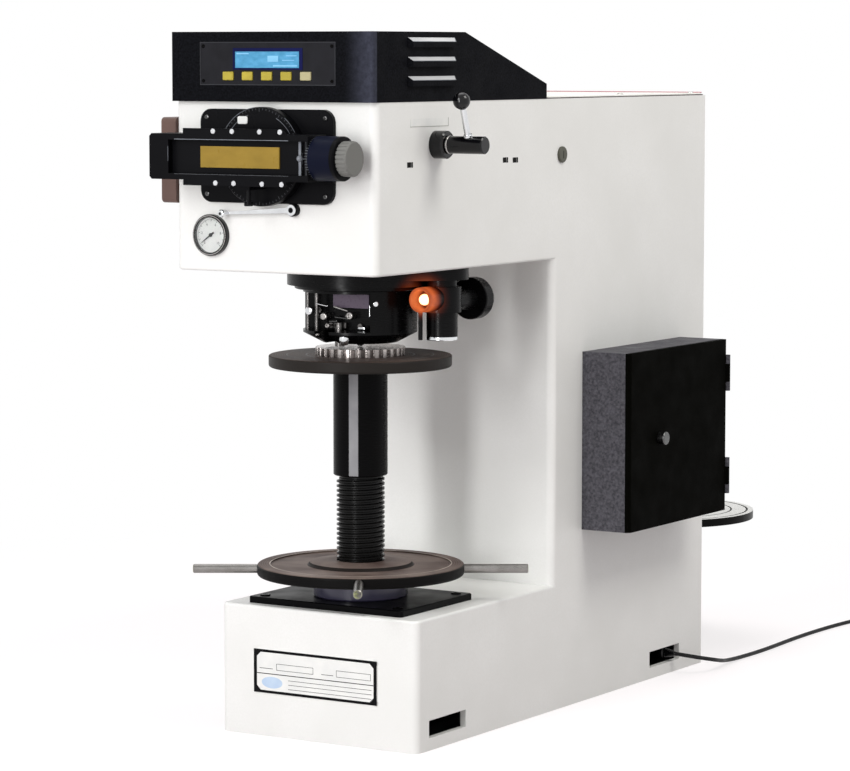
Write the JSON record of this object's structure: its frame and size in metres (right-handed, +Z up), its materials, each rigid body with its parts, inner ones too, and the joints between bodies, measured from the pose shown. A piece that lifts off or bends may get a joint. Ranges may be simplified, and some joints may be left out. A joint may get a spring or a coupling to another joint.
{
  "type": "hardness tester",
  "caption": "Bench Brinell hardness tester with an elevating screw and anvil, swinging turret with indenter and lamp-lit objective, measuring screen, load lever and weight hanger.",
  "frame": {"origin": "on the floor under the axis of the elevating screw", "axes": "+Z up along the elevating screw, +Y from the operator to the column, +X to the operator's right"},
  "size_m": [0.4133, 1.314, 0.797],
  "materials": {
    "casing_paint": "satin hammered paint",
    "cover_paint": "satin paint",
    "black_paint": "fine textured",
    "hood_black": "satin",
    "bronze_paint": "satin",
    "cabinet_paint": "fine textured",
    "panel_blue": "matt",
    "lcd_blue": "lit",
    "key_yellow": "gloss",
    "screen_amber": "gloss",
    "black_plastic": "gloss",
    "grey_plastic": "matt",
    "white_plastic": "gloss",
    "clear_glass": "clear",
    "bulb_glass": "lit",
    "chrome": "polished",
    "steel": "turned",
    "dark_steel": "blackened, turned",
    "iron": "as cast",
    "drum_aluminium": "anodised",
    "label_white": "printed blank",
    "cord_rubber": "matt"
  },
  "bodies": {
    "frame": {"base_casing": "casing_paint", "column_casing": "casing_paint", "head_casing": "casing_paint", "top_cover": "cover_paint", "rear_cover": "casing_paint", "display_case": "black_paint", "display_panel": "panel_blue", "lcd_window": "lcd_blue", "projector_plate": "hood_black", "gauge_case": "black_plastic", "gauge_glass": "clear_glass", "lever_boss": "steel", "side_plug": "grey_plastic", "selector_housing": "bronze_paint", "base_flange": "black_paint", "bearing_housing": "dark_steel", "turret_post": "steel", "lever_mounts": "iron", "lifting_motor": "iron", "cabinet_box": "cabinet_paint", "nameplate": "label_white", "cord_gland": "black_plastic", "mains_cord": "cord_rubber", "cord_coil": "cord_rubber", "mains_plug": "black_plastic"},
    "key_1": {"key_1": "key_yellow"},
    "key_2": {"key_2": "key_yellow"},
    "key_3": {"key_3": "key_yellow"},
    "key_4": {"key_4": "key_yellow"},
    "key_5": {"key_5": "key_yellow"},
    "gauge_pointer": {"gauge_pointer": "black_plastic"},
    "focus_lever": {"focus_lever": "chrome"},
    "load_lever": {"load_lever": "chrome", "load_lever_ball": "black_plastic"},
    "selector_knob": {"selector_knob": "black_plastic"},
    "screen_head": {"screen_ring": "hood_black", "screen_housing": "hood_black", "screen_glass": "screen_amber"},
    "micrometer_drum": {"micrometer_drum": "drum_aluminium"},
    "measuring_index": {"measuring_index": "white_plastic"},
    "ring_clamp": {"ring_clamp": "chrome"},
    "turret": {"swing_plate": "dark_steel", "indenter_block": "dark_steel", "block_fittings": "steel", "objective_housing": "dark_steel", "objective_lens": "chrome", "lamp_housing": "dark_steel", "lamp_bulb": "bulb_glass"},
    "indenter": {"indenter_holder": "steel"},
    "thrust_rod": {"thrust_rod": "steel"},
    "main_lever": {"main_lever": "iron"},
    "weight_hanger": {"weight_hanger": "iron"},
    "lifting_rod": {"lifting_rod": "steel"},
    "screw_table": {"elevating_screw": "dark_steel", "work_table": "dark_steel", "anvil": "steel"},
    "handwheel": {"handwheel": "dark_steel", "handwheel_rods": "steel"},
    "cabinet_door": {"cabinet_door": "cabinet_paint"},
    "door_knob": {"door_knob": "steel"}
  },
  "joints": [
    {"name": "key_1_press", "type": "slide", "parent": "frame", "child": "key_1", "axis": [0, 1, 0], "range_m": [0, 0.0012], "stiffness_N_per_m": 400},
    {"name": "key_2_press", "type": "slide", "parent": "frame", "child": "key_2", "axis": [0, 1, 0], "range_m": [0, 0.0012], "stiffness_N_per_m": 400},
    {"name": "key_3_press", "type": "slide", "parent": "frame", "child": "key_3", "axis": [0, 1, 0], "range_m": [0, 0.0012], "stiffness_N_per_m": 400},
    {"name": "key_4_press", "type": "slide", "parent": "frame", "child": "key_4", "axis": [0, 1, 0], "range_m": [0, 0.0012], "stiffness_N_per_m": 400},
    {"name": "key_5_press", "type": "slide", "parent": "frame", "child": "key_5", "axis": [0, 1, 0], "range_m": [0, 0.0012], "stiffness_N_per_m": 400},
    {"name": "gauge_pointer_turn", "type": "hinge", "parent": "frame", "child": "gauge_pointer", "pos_m": [-0.083, -0.173, 0.5739], "axis": [0, -1, 0], "range_deg": [-270, 0]},
    {"name": "focus_lever_swing", "type": "hinge", "parent": "frame", "child": "focus_lever", "pos_m": [0.027, -0.179, 0.604], "axis": [0, 1, 0], "range_deg": [-12, 4]},
    {"name": "load_lever_swing", "type": "hinge", "parent": "frame", "child": "load_lever", "pos_m": [0.132, -0.05, 0.6737], "axis": [1, 0, 0], "range_deg": [-80, 10]},
    {"name": "selector_turn", "type": "hinge", "parent": "frame", "child": "selector_knob", "pos_m": [-0.152, -0.125, 0.6555], "axis": [-1, 0, 0], "range_deg": [0, 300]},
    {"name": "screen_head_turn", "type": "hinge", "parent": "frame", "child": "screen_head", "pos_m": [-0.007, -0.184, 0.6617], "axis": [0, 1, 0], "range_deg": [0, 90]},
    {"name": "micrometer_turn", "type": "hinge", "parent": "screen_head", "child": "micrometer_drum", "pos_m": [0.1, -0.205, 0.6617], "axis": [1, 0, 0], "range_deg": [0, 720]},
    {"name": "measuring_index_slide", "type": "slide", "parent": "screen_head", "child": "measuring_index", "axis": [-1, 0, 0], "range_m": [0, 0.0101]},
    {"name": "ring_clamp_turn", "type": "hinge", "parent": "screen_head", "child": "ring_clamp", "pos_m": [-0.009, -0.208, 0.62], "axis": [0, 0, 1], "range_deg": [0, 180]},
    {"name": "turret_swing", "type": "hinge", "parent": "frame", "child": "turret", "pos_m": [0.033, 0.117, 0.52], "axis": [0, 0, 1], "range_deg": [-49, 0]},
    {"name": "indenter_rise", "type": "slide", "parent": "turret", "child": "indenter", "axis": [0, 0, 1], "range_m": [0, 0.00155]},
    {"name": "thrust_rod_rise", "type": "slide", "parent": "frame", "child": "thrust_rod", "axis": [0, 0, 1], "range_m": [0, 0.00155]},
    {"name": "main_lever_tilt", "type": "hinge", "parent": "frame", "child": "main_lever", "pos_m": [0, -0.04, 0.619], "axis": [1, 0, 0], "range_deg": [0, 2.2]},
    {"name": "weight_hanger_swing", "type": "hinge", "parent": "main_lever", "child": "weight_hanger", "pos_m": [0, 0.735, 0.619], "axis": [1, 0, 0], "range_deg": [-2.25, 0]},
    {"name": "lifting_rod_rise", "type": "slide", "parent": "frame", "child": "lifting_rod", "axis": [0, 0, 1], "range_m": [0, 0.017]},
    {"name": "handwheel_turn", "type": "hinge", "parent": "frame", "child": "handwheel", "pos_m": [0, 0, 0.1865], "axis": [0, 0, 1], "range_deg": [0, 6217]},
    {"name": "screw_lift", "type": "slide", "parent": "frame", "child": "screw_table", "axis": [0, 0, 1], "range_m": [-0.095, 0]},
    {"name": "cabinet_door_swing", "type": "hinge", "parent": "frame", "child": "cabinet_door", "pos_m": [0.1965, 0.5338, 0.3145], "axis": [0, 0, 1], "range_deg": [0, 110]},
    {"name": "door_knob_turn", "type": "hinge", "parent": "cabinet_door", "child": "door_knob", "pos_m": [0.1963, 0.357, 0.3145], "axis": [1, 0, 0], "range_deg": [0, 90]}
  ],
  "couplings": [
    {"joint": "measuring_index_slide", "follows": "micrometer_turn", "m_per_rad": 0.00079577},
    {"joint": "screw_lift", "follows": "handwheel_turn", "m_per_rad": -0.00087535},
    {"joint": "thrust_rod_rise", "follows": "main_lever_tilt", "m_per_rad": 0.04},
    {"joint": "indenter_rise", "follows": "main_lever_tilt", "m_per_rad": 0.04},
    {"joint": "lifting_rod_rise", "follows": "main_lever_tilt", "m_per_rad": 0.44},
    {"joint": "weight_hanger_swing", "follows": "main_lever_tilt", "ratio": -1}
  ]
}
